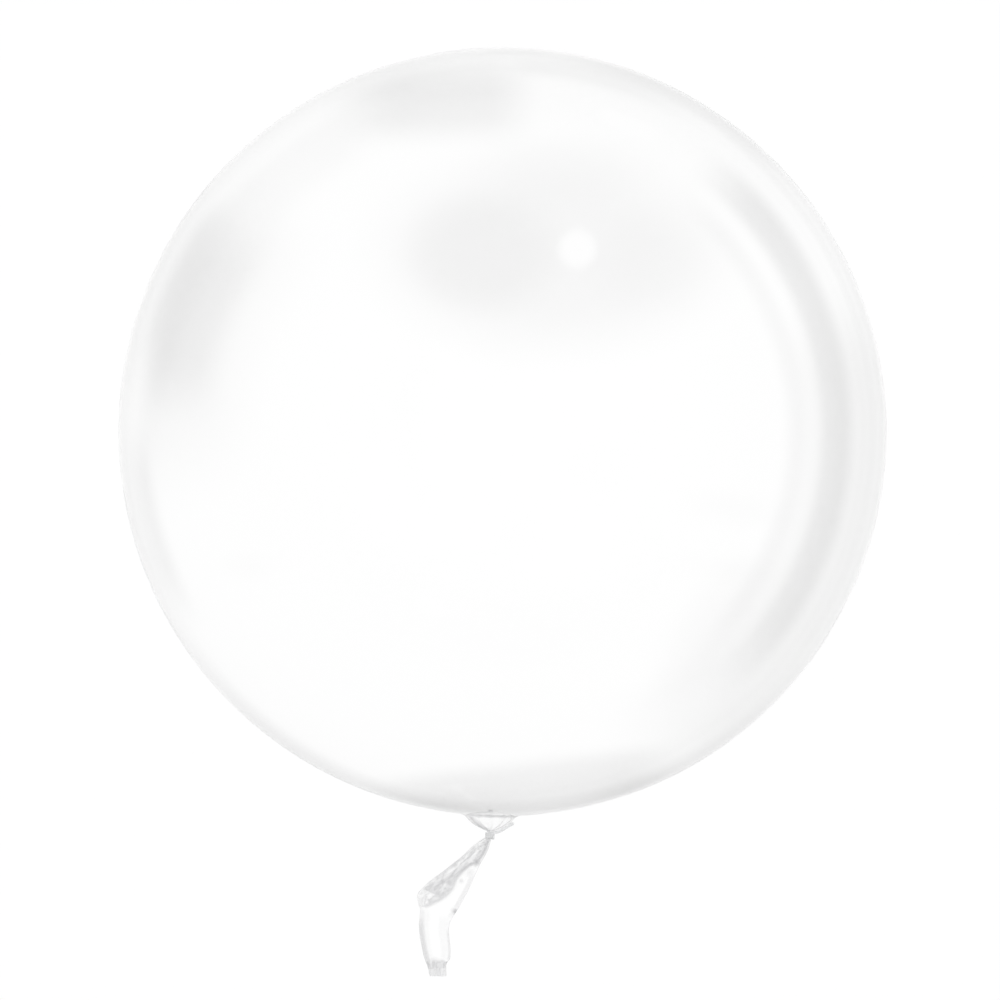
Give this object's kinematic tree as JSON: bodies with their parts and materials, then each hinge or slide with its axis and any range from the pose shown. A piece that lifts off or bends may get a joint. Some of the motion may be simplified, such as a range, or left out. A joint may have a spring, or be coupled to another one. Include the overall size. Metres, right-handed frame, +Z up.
{
  "type": "clear bubble balloon",
  "caption": "Inflated clear film ball, closed at a tied, pleated neck, with a short crumpled sleeve as its tail.",
  "frame": {"origin": "middle of the flat spot on the ball's underside, where the balloon rests as it lies", "axes": "+Z up from the rest spot through the ball's centre; +Y level, away from the neck, so the neck and tail point along -Y; +X to the right with the neck towards the viewer's feet, so the tail leans to -X"},
  "size_m": [0.5078, 0.6142, 0.5066],
  "materials": {
    "clear_film": "thin clear stretch film, high gloss",
    "tie_strip": "clear strip, satin gloss"
  },
  "bodies": {
    "root": {"bubble_film": "clear_film", "neck_tie": "tie_strip"}
  },
  "joints": []
}
